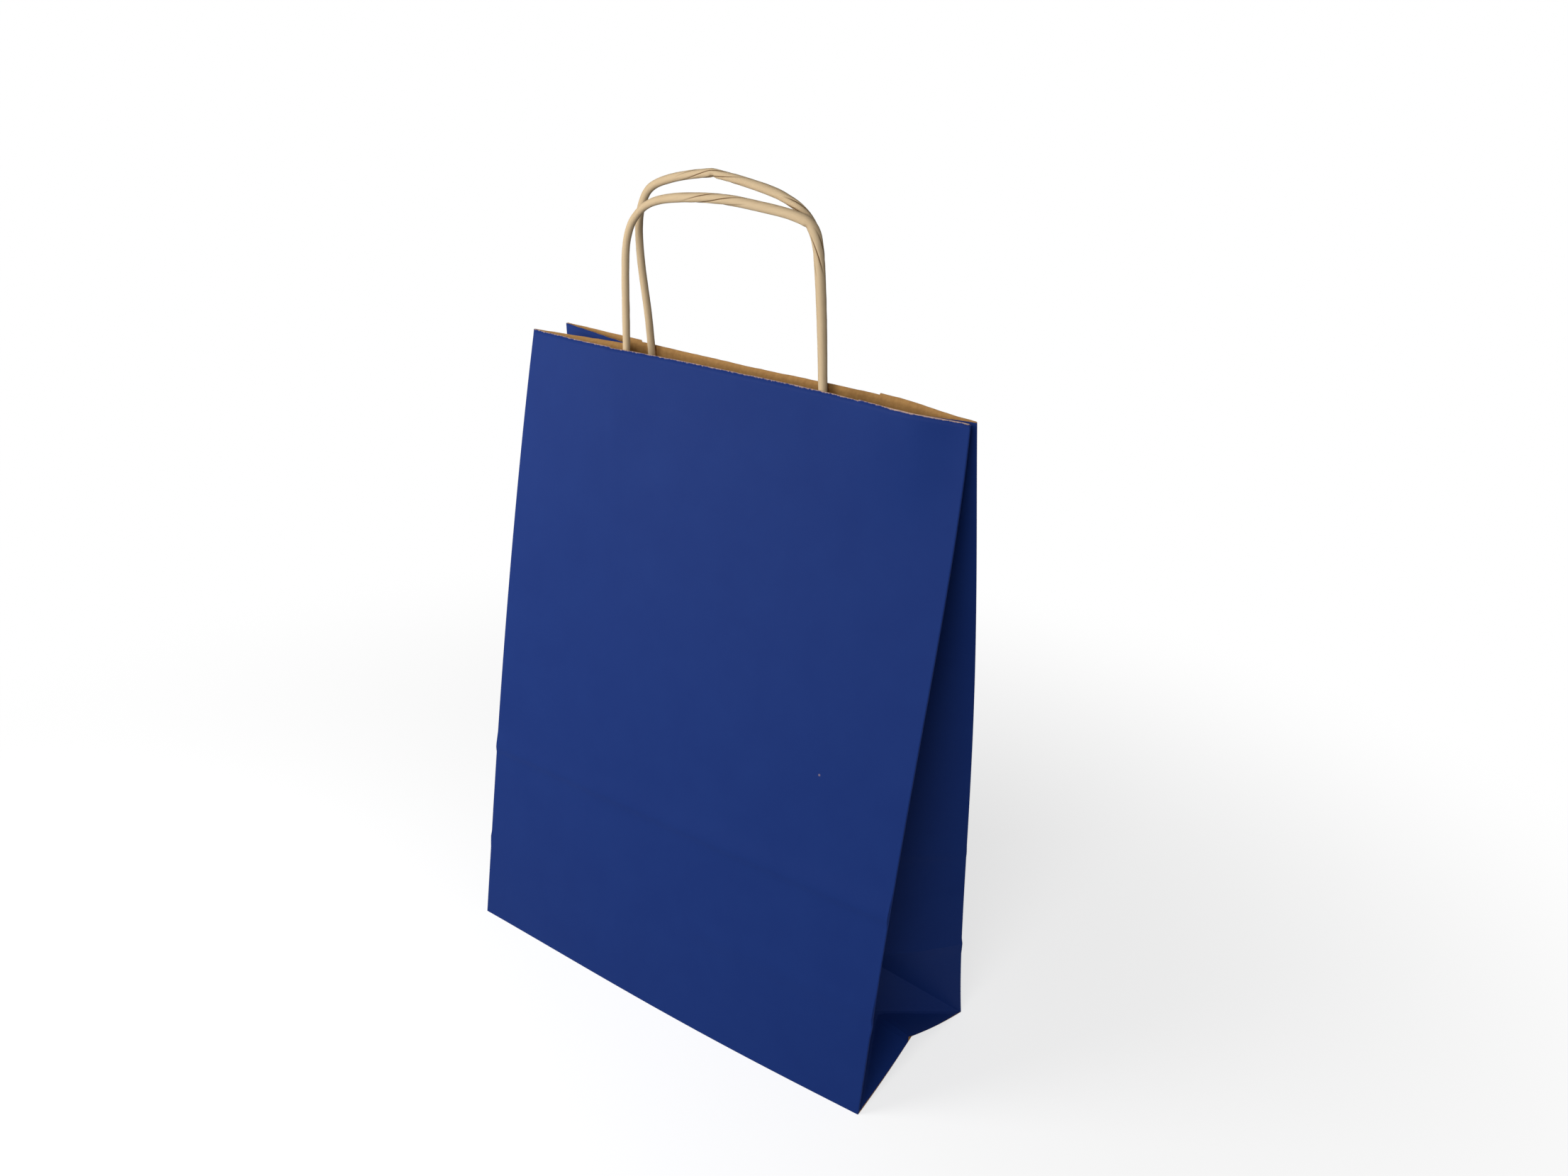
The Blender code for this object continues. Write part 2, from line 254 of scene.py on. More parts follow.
def wave_height(waves, x):
    total = 0.0
    for centre, left, right, height in waves:
        total += height * hump(x - centre, left if x < centre else right)
    return total


def wave_share(outward, x, level):
    """How far the mouth's waves reach down: the one at the right of the front ends soonest."""
    start = WAVE_START + (RIGHT_WAVE_DELAY * ease(0.0, 0.06, x) if outward < 0 else 0.0)
    return ease(start, 1.0, level)


def pressed_fold(distance, depth):
    """Outward rise of an old fold: gentle on one side and short on the other."""
    if distance > 0.0015:
        return depth * (1.0 - ease(0.0015, 0.0130, distance))
    return depth * ease(-0.0035, 0.0015, distance)


def pressed_lines(outward, x, z):
    """Low ridges left by the folds of the bag when it lay flat."""
    rise = pressed_fold(z - PRESS_LINE_HEIGHT, PRESS_LINE_RISE)
    if outward < 0:
        rise += pressed_fold(z - LOW_LINE_HEIGHT, LOW_LINE_RISE) * ease(0.0, 0.03, x)
        fold = -0.062 + (0.300 - z) * 0.125
        rise += UPRIGHT_LINE_RISE * hump(x - fold, 0.0040) * ease(0.215, 0.25, z)
    return rise


def panel_depth(outward, x, level):
    """Y of a panel's printed side: outward is -1 on the front panel and 1 on the back one."""
    edges, waves = (FRONT_EDGES, FRONT_WAVES) if outward < 0 else (BACK_EDGES, BACK_WAVES)
    left, right = side_x(-1, level), side_x(1, level)
    across = (x - left) / (right - left)
    curl = CURL * max(0.0, 1.0 - (x - left) / CURL_REACH) ** 2 * ease(0.3, 0.8, level)
    flat = edges[0](level) * (1 - across) + edges[1](level) * across
    bow = BASE_BOW * math.sin(across ** 1.25 * math.pi) * (1 - level) ** 3
    wave = wave_height(waves, x) * wave_share(outward, x, level)
    return outward * (flat + bow + wave + curl)


def panel_surface(outward, x, level):
    """The same with its pressed lines and the slight unevenness of paper."""
    z = level * MOUTH_HEIGHT
    away = min(x - side_x(-1, level), side_x(1, level) - x)
    ripple = noise.noise(Vector((x * 16, outward * 3.0, z * 11))) * 0.00045
    ripple *= ease(0.0, 0.03, away) * ease(0.0, 0.04, z)
    return panel_depth(outward, x, level) + outward * (ripple + pressed_lines(outward, x, z))


def panel_columns(level):
    """X of a panel's columns, with a close pair where the cut edge steps over each gusset."""
    left, right = side_x(-1, level) + FOLD_RADIUS, side_x(1, level) - FOLD_RADIUS
    fold = GUSSET_WIDTH / 2
    outer = np.linspace(0.0, fold, SIDE_CELLS + 1)
    near = round(LAP_WIDTH / fold * SIDE_CELLS)
    outer[near:near + 2] = LAP_WIDTH - LAP_SLOPE, LAP_WIDTH + LAP_SLOPE
    middle = np.linspace(left + fold + 0.0004, right - fold - 0.0004, MIDDLE_CELLS + 1)
    return [*(left + outer), *middle, *(right - outer[::-1])]


def over_gusset(index):
    return index <= SIDE_CELLS or index >= SIDE_CELLS + MIDDLE_CELLS + 2


def wall_levels():
    """Heights of the rows above the knee, as shares of the mouth height."""
    knee = np.linspace(KNEE_HEIGHT, PRESS_LINE_HEIGHT - 0.0034, 15)
    line = PRESS_LINE_HEIGHT + np.array([-0.0022, -0.0011, 0.0, 0.0011, 0.0022])
    upper = np.linspace(PRESS_LINE_HEIGHT + 0.0034, MOUTH_HEIGHT - 0.0036, 66)
    heights = [*knee, *line, *upper, MOUTH_HEIGHT - 0.0022, MOUTH_HEIGHT]
    return [height / MOUTH_HEIGHT for height in heights]


def mouth_slope(x):
    """The sawn edge falls a little from the left end of the mouth to the right one."""
    return MOUTH_SLOPE * (x - MOUTH_LEFT) / MOUTH_WIDTH


def cut_edge(outward, x, index):
    """How far the sawn mouth edge lies below the full height."""
    drop = 0.0 if over_gusset(index) else (FRONT_STEP if outward < 0 else BACK_STEP)
    drop += mouth_slope(x) - 0.0006
    drop -= 0.0003 + (0.0012 if outward < 0 else 0.0010) * hump(x - 0.03, 0.15)
    drop += 0.00012 * (1 + noise.noise(Vector((x * 160, outward * 7.0, 0.5))))
    return drop + 0.00010 * (1 + noise.noise(Vector((x * 700, outward * 5.0, 2.5))))


def panel_row(outward, level):
    points = []
    for index, x in enumerate(panel_columns(level)):
        drop = cut_edge(outward, x, index) if level >= 1.0 else 0.0
        y = panel_surface(outward, x, level)
        if outward > 0 and x < side_x(-1, level) + FOLD_RADIUS + LAP_WIDTH:
            y += LAP_STEP
        points.append(Vector((x, y, level * MOUTH_HEIGHT - drop)))
    return points


def arc(centre, radius, start, end, z):
    """Points of an arc in the level plane, both ends included."""
    angles = np.linspace(start, end, FOLD_STEPS + 1)
    return [Vector((centre[0] + radius * math.cos(a), centre[1] + radius * math.sin(a), z))
            for a in angles]


def gusset_plan(side, level):
    """The gusset at one height, drawn as if on the right: fold arcs and the two halves."""
    x, z = side * side_x(side, level), level * MOUTH_HEIGHT
    front = panel_depth(-1, side * x, level)
    back = panel_depth(1, side * x, level)
    half, fold = GUSSET_WIDTH / 2, FOLD_RADIUS
    reach = math.sqrt(half ** 2 - ((back - front) / 2 - fold) ** 2)
    tuck = (LEFT_TUCK if side < 0 else RIGHT_TUCK) * ease(TUCK_START, 1.0, level)
    pinch = (0.0 if side < 0 else RIGHT_PINCH) * ease(TUCK_START, 1.0, level)
    hug = FRONT_WAVES[1:] if side > 0 else ()
    swing = GUSSET_SWING * wave_share(-1, FRONT_WAVES[1][0], level)
    centre = Vector((x - reach, (front + back) / 2 - tuck))
    front_turn = Vector((x - fold, front + fold))
    back_turn = Vector((x - fold, back - fold))
    ahead = (centre - front_turn).normalized()
    behind = (back_turn - centre).normalized()
    front_out, back_out = Vector((ahead.y, -ahead.x)), Vector((behind.y, -behind.x))
    first = arc(front_turn, fold, -math.pi / 2, math.atan2(front_out.y, front_out.x), z)
    last = arc(back_turn, fold, math.atan2(back_out.y, back_out.x), math.pi / 2, z)
    start = math.atan2(-front_out.y, -front_out.x) % (2 * math.pi)
    end = math.atan2(-back_out.y, -back_out.x) % (2 * math.pi)
    valley = arc(centre, VALLEY_RADIUS, start, end, z)
    rise = pressed_lines(0, 0.0, z)
    knee = KNEE_BULGE * max(0.0, 1.0 - (z - KNEE_HEIGHT) / KNEE_REACH) ** 2

    def half_line(begin, finish, out, push):
        line = []
        for share in np.linspace(0.0, 1.0, FOOT_CELLS + 1):
            point = begin.lerp(finish, share)
            point.y -= wave_height(hug, point.x) * swing
            bend = math.sin(share * math.pi)
            uneven = noise.noise(Vector((share * 2.5, side * 9.0 + out.y, z * 14))) * 0.0004
            amount = (rise + knee + uneven * ease(0.05, 0.09, z)) * bend
            point.x += out.x * amount
            point.y += out.y * amount - push * bend
            line.append(point)
        return line

    front_half = half_line(first[-1], valley[0], front_out, 0.0)
    back_half = half_line(valley[-1], last[0], back_out, pinch)
    for point in valley:
        point.y -= wave_height(hug, point.x) * swing
    parts = [first, front_half, valley, back_half, last]
    for part in parts:
        for point in part:
            point.x *= side
            if level >= 1.0:
                point.z -= mouth_slope(point.x) - 0.0009
                point.z -= 0.0002 * (1 + noise.noise(point * 500))
    return parts


class Sheet:
    """Collects the sheet's points, their place on the flat sheet, and the faces."""

    def __init__(self):
        self.points = []
        self.places = []
        self.faces = []
        self.worn = {}
        self.pressed = set()

    def add(self, points, places):
        first = len(self.points)
        self.points += points
        self.places += places
        return list(range(first, len(self.points)))

    def add_end(self, points):
        """Adds points of a gusset's foot, whose place is as seen from the bag's end."""
        return self.add(points, [(p.y, p.z) for p in points])

    def weave(self, rows):
        """Faces between each row of points and the next."""
        for lower, upper in zip(rows, rows[1:]):
            self.strip(lower, upper)

    def strip(self, lower, upper):
        for k in range(len(lower) - 1):
            self.quad(lower[k], lower[k + 1], upper[k + 1], upper[k])

    def quad(self, *corners):
        kept = [c for k, c in enumerate(corners) if c != corners[k - 1]]
        if len(kept) > 2:
            self.faces.append(kept)

    def line(self, start, end, count):
        """Indices of count cells from one point to another, with new points between."""
        a, b = self.points[start], self.points[end]
        shares = np.linspace(0.0, 1.0, count + 1)[1:-1]
        inner = [a.lerp(b, share) for share in shares]
        return [start, *self.add_end(inner), end]

    def triangle(self, ab, ac, bc):
        """Fills a triangle whose three sides have the same number of cells.

        The inside follows the bow of the third side.
        """
        last = len(ab) - 1
        first, final = self.points[bc[0]], self.points[bc[-1]]
        bows = [self.points[index] - first.lerp(final, k / last) for k, index in enumerate(bc)]
        before = [ab[0]]
        for row in range(1, last + 1):
            if row == last:
                now = list(bc)
            else:
                a, b = self.points[ab[row]], self.points[ac[row]]
                inner = [a.lerp(b, k / row) + bows[round(k / row * last)] * (row / last) ** 2
                         for k in range(1, row)]
                now = [ab[row], *self.add_end(inner), ac[row]]
            for k in range(row):
                self.faces.append([now[k], now[k + 1], before[k]])
            for k in range(row - 1):
                self.faces.append([before[k], now[k + 1], before[k + 1]])
            before = now


def base_profile(share, inward):
    """Height of the base's underside: level at its feet, with a low ridge between them.

    inward is the distance from the end of the bag, where the ridge stands highest.
    """
    ridge = 0.5 + RIDGE_OFFSET / BASE_DEPTH
    sag = 1.0 - (1.0 - min(inward / SAG_REACH, 1.0)) ** 2
    climb = share / ridge if share <= ridge else (1 - share) / (1 - ridge)
    bend = RIDGE_BEND * (1 - sag) + SAG_BEND * sag
    rise = RIDGE_RISE - BASE_LIFT - BASE_SAG * sag
    tuck = 0.0006 * min(inward / 0.003, 1.0) * min(climb * 6, 1.0)
    return BASE_LIFT + rise * (climb + bend * math.sin(climb * math.pi)) - tuck


def base_shares():
    ridge = 0.5 + RIDGE_OFFSET / BASE_DEPTH
    lower = np.linspace(0.0, ridge, FOOT_CELLS + 1)
    return [*lower[:-1], *np.linspace(ridge, 1.0, FOOT_CELLS + 1)]


def foot(sheet, front, back, knee, end, side):
    """The popped-in triangle of a gusset between the base and the knee fold.

    front and back are the upright fold lines, knee the gusset's row at the knee, and end the
    edge of the base, all as point indices that run from the front panel to the back one.
    """
    cells = FOOT_CELLS
    front_half, valley, back_half = knee
    low = sheet.add_end([Vector((side * POCKET[0], *POCKET[1:]))])[0]
    apex = end[cells]
    fold_front = sheet.line(front[0], front_half[-1], cells)
    fold_back = sheet.line(back[0], back_half[0], cells)
    to_front, to_back = sheet.line(front[0], low, cells), sheet.line(back[0], low, cells)
    rise_front = sheet.line(low, front_half[-1], cells)
    rise_back = sheet.line(low, back_half[0], cells)
    to_apex = sheet.line(low, apex, cells)
    held = len(sheet.points)
    sheet.triangle(front, fold_front, front_half)
    sheet.triangle(fold_back, back, back_half)
    free = len(sheet.points)
    sheet.triangle(fold_front, to_front, rise_front[::-1])
    sheet.triangle(to_back, fold_back, rise_back)
    sheet.triangle(to_front, end[:cells + 1], to_apex)
    sheet.triangle(end[cells:][::-1], to_back, to_apex[::-1])
    before = [low] * (FOLD_STEPS + 1)
    for row in range(1, cells + 1):
        if row == cells:
            now = valley
        else:
            a, b = sheet.points[rise_front[row]], sheet.points[rise_back[row]]
            inner = [a.lerp(b, k / FOLD_STEPS) for k in range(1, FOLD_STEPS)]
            now = [rise_front[row], *sheet.add_end(inner), rise_back[row]]
        sheet.strip(before, now)
        before = now
    sheet.pressed.update(k for k in range(held, len(sheet.points))
                         if sheet.points[k].z < POCKET[2])
    soft = {*range(free, len(sheet.points)), *to_front[1:-1], *to_back[1:-1], *rise_front[1:-1],
            *rise_back[1:-1], *to_apex[1:-1], low}
    relax(sheet, soft, 3)


def relax(sheet, soft, rounds):
    """Lets paper round off along bends that were never creased."""
    beside = {index: set() for index in soft}
    for face in sheet.faces:
        for k, index in enumerate(face):
            if index in beside:
                beside[index].update((face[k - 1], face[(k + 1) % len(face)]))
    for _ in range(rounds):
        moved = {}
        for index, others in beside.items():
            middle = sum((sheet.points[other] for other in others), Vector()) / len(others)
            moved[index] = sheet.points[index].lerp(middle, 0.5)
        for index, point in moved.items():
            sheet.points[index] = point


def distances_along(points):
    """Distance along a row of points."""
    steps = [(b - a).length for a, b in zip(points, points[1:])]
    return [0.0, *np.cumsum(steps)]


def make_sheet():
    """The folded sheet's printed side, as one surface that is open at the mouth."""
    sheet = Sheet()
    foot_levels = list(np.linspace(0.0, KNEE_HEIGHT, FOOT_CELLS + 1) / MOUTH_HEIGHT)
    fronts, backs = [], []
    for level in foot_levels[:-1]:
        right, left = gusset_plan(1, level), gusset_plan(-1, level)
        front = left[0][::-1][:-1] + panel_row(-1, level) + right[0][1:]
        back = left[4][:-1] + panel_row(1, level) + right[4][::-1][1:]
        for row, found in ((front, fronts), (back, backs)):
            for point in row:
                point.z += BASE_LIFT * (1 - level * MOUTH_HEIGHT / KNEE_HEIGHT)
            around = distances_along(row)
            found.append(sheet.add(row, [(u, level * MOUTH_HEIGHT) for u in around]))

    rings = []
    for level in wall_levels():
        right, left = gusset_plan(1, level), gusset_plan(-1, level)
        right_wall = sum((part[:-1] for part in right), []) + right[4][-1:]
        left_wall = sum((part[:-1] for part in left), []) + left[4][-1:]
        row = (panel_row(-1, level) + right_wall[1:-1]
               + panel_row(1, level)[::-1] + left_wall[::-1][1:-1])
        around = distances_along(row)
        rings.append(sheet.add(row, [(u, level * MOUTH_HEIGHT) for u in around]))
    sheet.weave([ring + ring[:1] for ring in rings])

    panel = SIDE_CELLS * 2 + MIDDLE_CELLS + 3
    wall = 2 * FOOT_CELLS + 3 * FOLD_STEPS + 1
    knee = rings[0]
    right = knee[panel - 1:panel + wall - 1]
    back_panel = knee[panel + wall - 2:2 * panel + wall - 2]
    left = [back_panel[-1], *knee[2 * panel + wall - 2:], knee[0]][::-1]
    f, c = FOLD_STEPS, FOOT_CELLS
    knee_front = left[:f + 1][::-1][:-1] + knee[:panel] + right[1:f + 1]
    knee_back = left[-f - 1:-1] + back_panel[::-1] + right[::-1][1:f + 1]
    fronts.append(knee_front)
    backs.append(knee_back)
    sheet.weave(fronts)
    sheet.weave(backs)

    sheet.pressed.update(index for index in fronts[0] + backs[0]
                         if BASE_WIDTH / 2 - abs(sheet.points[index].x) < 0.0008)
    columns = []
    for front, back in zip(fronts[0], backs[0]):
        a, b = sheet.points[front], sheet.points[back]
        inner = [a.lerp(b, share) for share in base_shares()[1:-1]]
        for point, share in zip(inner, base_shares()[1:-1]):
            point.z = base_profile(share, BASE_WIDTH / 2 - abs(point.x))
        columns.append([front, *sheet.add(inner, [(p.x, p.y) for p in inner]), back])
    sheet.weave(columns)
    for column in columns:
        inward = BASE_WIDTH / 2 - abs(sheet.points[column[FOOT_CELLS]].x)
        if inward < NO_WEAR:
            sheet.worn.update({index: inward + END_WEAR for index in column})
        if inward < SAG_REACH:
            sheet.pressed.update(column[1:-1])
    for first in (0, panel + wall - 2):
        for index in range(first, first + panel):
            bare = sheet.points[rings[-1][index]].x > RUBBED_BARE_FROM
            sheet.worn[rings[-1][index]] = 0.0 if bare else MOUTH_WEAR
            sheet.worn[rings[-2][index]] = BELOW_MOUTH_WEAR

    for side, row, end in ((1, right, columns[-1]), (-1, left, columns[0])):
        halves = (row[f:f + c + 1], row[f + c:2 * f + c + 1], row[2 * f + c:2 * f + 2 * c + 1])
        column = -1 if side > 0 else 0
        foot(sheet, [line[column] for line in fronts], [line[column] for line in backs],
             halves, end, side)
    return sheet


def make_mesh(name, sheet, front_normal):
    """A mesh of the sheet whose faces point outwards."""
    mesh = bpy.data.meshes.new(name)
    mesh.from_pydata([tuple(p) for p in sheet.points], [], sheet.faces)
    shape = bmesh.new()
    shape.from_mesh(mesh)
    bmesh.ops.recalc_face_normals(shape, faces=shape.faces)
    shape.normal_update()
    nearest = max(shape.faces, key=lambda face: face.calc_center_median().dot(front_normal))
    if nearest.normal.dot(front_normal) < 0:
        bmesh.ops.reverse_faces(shape, faces=shape.faces)
    for edge in shape.edges:
        if len(edge.link_faces) == 2 and edge.calc_face_angle(0.0) > math.radians(8):
            edge.smooth = False
    for face in shape.faces:
        face.smooth = True
    shape.to_mesh(mesh)
    shape.free()
    place = mesh.attributes.new("sheet_place", "FLOAT_VECTOR", "POINT")
    place.data.foreach_set("vector", [v for p in sheet.places for v in (p[0], p[1], 0.0)])
    if sheet.pressed:
        thin = mesh.attributes.new("pressed_thin", "BOOLEAN", "POINT")
        thin.data.foreach_set("value", [k in sheet.pressed for k in range(len(sheet.points))])
    worn = mesh.attributes.new("from_worn_edge", "FLOAT", "POINT")
    worn.data.foreach_set("value", [sheet.worn.get(k, NO_WEAR) for k in range(len(sheet.points))])
    return mesh


def apply_modifiers(item):
    """Replaces the object's mesh by the result of its modifiers."""
    bpy.context.view_layer.update()
    result = bpy.data.meshes.new_from_object(
        item.evaluated_get(bpy.context.evaluated_depsgraph_get()))
    item.modifiers.clear()
    item.data = result


def thicken(item):
    """The modelled faces are the printed side, and the paper lies behind them.

    It is pressed thin in the low folds at the ends of the base, where two layers meet.
    """
    if "pressed_thin" in item.data.attributes:
        group = item.vertex_groups.new(name="paper")
        group.add(range(len(item.data.vertices)), 1.0, "REPLACE")
        thin = item.data.attributes["pressed_thin"].data
        group.add([k for k, point in enumerate(thin) if point.value], PRESSED_SHARE, "REPLACE")
    solidify = item.modifiers.new("paper", "SOLIDIFY")
    solidify.thickness = PAPER
    solidify.offset = -1.0
    solidify.use_quality_normals = True
    solidify.use_rim = True
    solidify.vertex_group = "paper" if "paper" in item.vertex_groups else ""
    if len(item.data.materials) > 2:
        solidify.material_offset = 1
        solidify.material_offset_rim = 2
    apply_modifiers(item)


def paper_piece(name, sheet, front_normal, materials):
    """The sheet as a thick piece, in one paper or with a printed side, inside and cut edge."""
    piece = link_object(name, make_mesh(name, sheet, Vector(front_normal)))
    for material in materials:
        piece.data.materials.append(material)
    thicken(piece)
    return piece


# Base flaps

def add_flap(sheet, near_y, far_y, near_x, far_x, drop):
    """A flap glued under the base, with slanting ends."""
    rows = []
    for share in np.linspace(0.0, 1.0, 25):
        y = near_y + (far_y - near_y) * share
        reach = near_x + (far_x - near_x) * share
        row = [Vector((x, y, base_profile(y / BASE_DEPTH + 0.5, BASE_WIDTH / 2 - abs(x)) - drop))
               for x in np.linspace(-reach, reach, 61)]
        rows.append(sheet.add(row, [(p.x, p.y) for p in row]))
    sheet.weave(rows)


# Handles and their glued strips

def panel_inside(outward, x, z, distance):
    """Y of a point that lies a distance inside a panel's unprinted side."""
    return panel_depth(outward, x, z / MOUTH_HEIGHT) - outward * (0.0003 + distance)


def smooth_points(points, step):
    """A smooth curve through the points, cut to even steps."""
    ends = [points[0] * 2 - points[1], *points, points[-1] * 2 - points[-2]]
    dense = []
    for before, start, end, after in zip(ends, ends[1:], ends[2:], ends[3:]):
        for share in np.linspace(0.0, 1.0, 16, endpoint=False):
            bend = (before * 2 - start * 5 + end * 4 - after) * share ** 2
            turn = (start * 3 - before - end * 3 + after) * share ** 3
            dense.append((start * 2 + (end - before) * share + bend + turn) / 2)
    dense.append(points[-1])
    travel = distances_along(dense)
    stops = np.linspace(0.0, travel[-1], round(travel[-1] / step) + 1)
    axes = [np.interp(stops, travel, [point[axis] for point in dense]) for axis in range(3)]
    return [Vector(point) for point in zip(*axes)]


def handle_route(outward, arch, lean):
    """Centre line: up one leg inside the panel, over the arch and down again."""
    bottom = MOUTH_HEIGHT - PATCH_DROP - PATCH_HEIGHT + PATCH_MARGIN
    seat = GAP + CORD_DIAMETER / 2
    left_x, right_x = arch[0][0], arch[-1][0]
    heights = np.linspace(bottom, MOUTH_HEIGHT - PATCH_DROP / 2, 6)
    legs = [[Vector((x, panel_inside(outward, x, z, seat), z)) for z in heights]
            for x in (left_x, right_x)]
    left_y = panel_inside(outward, left_x, MOUTH_HEIGHT, seat)
    right_y = panel_inside(outward, right_x, MOUTH_HEIGHT, seat)
    crown = []
    for x, rise in arch:
        share = (x - left_x) / (right_x - left_x)
        y = left_y + (right_y - left_y) * share + rise * math.tan(lean)
        crown.append(Vector((x, y, MOUTH_HEIGHT + rise)))
    return legs[0] + crown + legs[1][::-1]


def off_fold(tree, place):
    """How far a place round the cord is from the two crossing lines of its folds."""
    sides = add(tree, "ShaderNodeSeparateXYZ", {0: place}).outputs
    across = add(tree, "ShaderNodeMath", {0: sides[0], 1: sides[1]}, operation="MULTIPLY")
    return add(tree, "ShaderNodeMath", {0: across}, operation="ABSOLUTE")


def off_point(tree, along, point):
    """How far a place along the cord is from a point of it."""
    off = add(tree, "ShaderNodeMath", {0: along, 1: point}, operation="SUBTRACT")
    return add(tree, "ShaderNodeMath", {0: off}, operation="ABSOLUTE")


def cord_tree():
    """Geometry nodes: a cord of twisted paper along a curve, whose folds open in places."""
    tree = bpy.data.node_groups.new("twisted_paper_cord", "GeometryNodeTree")
    face = tree.interface
    face.new_socket("Path", in_out="INPUT", socket_type="NodeSocketGeometry")
    for name in ("Radius", "Twist per metre", "Twist start", "First opening", "First reach",
                 "Second opening", "Second reach", "Fold depth", "Kink", "Shape seed"):
        face.new_socket(name, in_out="INPUT", socket_type="NodeSocketFloat")
    face.new_socket("Paper", in_out="INPUT", socket_type="NodeSocketMaterial")
    face.new_socket("Cord", in_out="OUTPUT", socket_type="NodeSocketGeometry")
    inputs = add(tree, "NodeGroupInput").outputs

    # The path, and the ring that runs along it
    cut = add(tree, "GeometryNodeResampleCurve", {"Curve": inputs["Path"], "Length": 0.0008},
              mode="LENGTH")
    place = add(tree, "GeometryNodeInputPosition").outputs[0]
    path = add(tree, "GeometryNodeCaptureAttribute", {"Geometry": cut}, domain="POINT")
    path.capture_items.new("FLOAT", "along")
    path.capture_items.new("VECTOR", "centre")
    tree.links.new(add(tree, "GeometryNodeSplineParameter").outputs["Length"], path.inputs["along"])
    tree.links.new(place, path.inputs["centre"])
    circle = add(tree, "GeometryNodeCurvePrimitiveCircle",
                 {"Resolution": 48, "Radius": inputs["Radius"]})
    ring = add(tree, "GeometryNodeCaptureAttribute", {"Geometry": circle.outputs["Curve"]},
               domain="POINT")
    ring.capture_items.new("VECTOR", "on_ring")
    tree.links.new(place, ring.inputs["on_ring"])
    tube = add(tree, "GeometryNodeCurveToMesh",
               {"Curve": path.outputs["Geometry"], "Profile Curve": ring.outputs["Geometry"],
                "Scale": add(tree, "GeometryNodeInputRadius"), "Fill Caps": True})
    along = path.outputs["along"]

    # The paper's own place round the cord, turned with the twist; it folds on two crossing lines
    turn = add(tree, "ShaderNodeMath", {0: along, 1: inputs["Twist per metre"],
                                        2: inputs["Twist start"]}, operation="MULTIPLY_ADD")
    turned = add(tree, "ShaderNodeVectorRotate",
                 {"Vector": ring.outputs["on_ring"], "Axis": (0.0, 0.0, 1.0),
                  "Angle": turn}, rotation_type="AXIS_ANGLE")
    fold = add(tree, "ShaderNodeMapRange", {"Value": off_fold(tree, turned), "From Max": 1.1e-6,
                                            "To Min": 1.0, "To Max": 0.0},
               interpolation_type="SMOOTHSTEP")

    # How far the folds are open along the cord
    opened = add(tree, "ShaderNodeTexNoise", {"W": along, "Scale": 60.0, "Detail": 0.0},
                 noise_dimensions="1D")
    opened = add(tree, "ShaderNodeMapRange", {"Value": opened, "From Min": 0.50, "From Max": 0.75,
                                              "To Max": 0.06})
    for centre, reach in (("First opening", "First reach"), ("Second opening", "Second reach")):
        off = off_point(tree, along, inputs[centre])
        here = add(tree, "ShaderNodeMapRange", {"Value": off, "To Min": 1.6, "To Max": 0.0,
                                                "From Max": inputs[reach]})
        opened = add(tree, "ShaderNodeMath", {0: opened, 1: here},
                     operation="MAXIMUM")
    opened = add(tree, "ShaderNodeMath", {0: opened, 1: 1.0}, operation="MINIMUM")
    groove = add(tree, "ShaderNodeMath", {0: fold, 1: opened}, operation="MULTIPLY")
    groove = add(tree, "ShaderNodeMath", {0: groove, 1: inputs["Fold depth"]},
                 operation="MULTIPLY")

    # A kink pinches the underside of the cord
    outwards = add(tree, "ShaderNodeVectorMath", {0: place, 1: path.outputs["centre"]},
                   operation="SUBTRACT")
    unit = add(tree, "ShaderNodeVectorMath", {0: outwards}, operation="NORMALIZE")
    upward = add(tree, "ShaderNodeSeparateXYZ", {0: unit}).outputs[2]
    under = add(tree, "ShaderNodeMapRange", {"Value": upward, "From Min": -0.9, "From Max": 0.3,
                                             "To Min": 1.0, "To Max": 0.0})
    off = off_point(tree, along, inputs["Kink"])
    pinch = add(tree, "ShaderNodeMapRange", {"Value": off, "From Max": 0.0022, "To Min": 1.0,
                                             "To Max": 0.0},
                interpolation_type="SMOOTHSTEP")
    pinch = add(tree, "ShaderNodeMath", {0: pinch, 1: under}, operation="MULTIPLY")
    sink = add(tree, "ShaderNodeMath", {0: pinch, 1: 0.0004, 2: groove},
               operation="MULTIPLY_ADD")
    lumps = add(tree, "ShaderNodeTexNoise", {"Vector": place, "W": inputs["Shape seed"],
                                             "Scale": 170.0, "Detail": 1.0},
                noise_dimensions="4D")
    lumps = add(tree, "ShaderNodeMapRange", {"Value": lumps, "To Min": -0.00011,
                                             "To Max": 0.00011})
    inward = add(tree, "ShaderNodeMath", {0: lumps, 1: sink}, operation="SUBTRACT")
    shift = add(tree, "ShaderNodeVectorMath", {0: unit, "Scale": inward}, operation="SCALE")
    shaped = add(tree, "GeometryNodeSetPosition",
                 {"Geometry": tube, "Offset": shift})

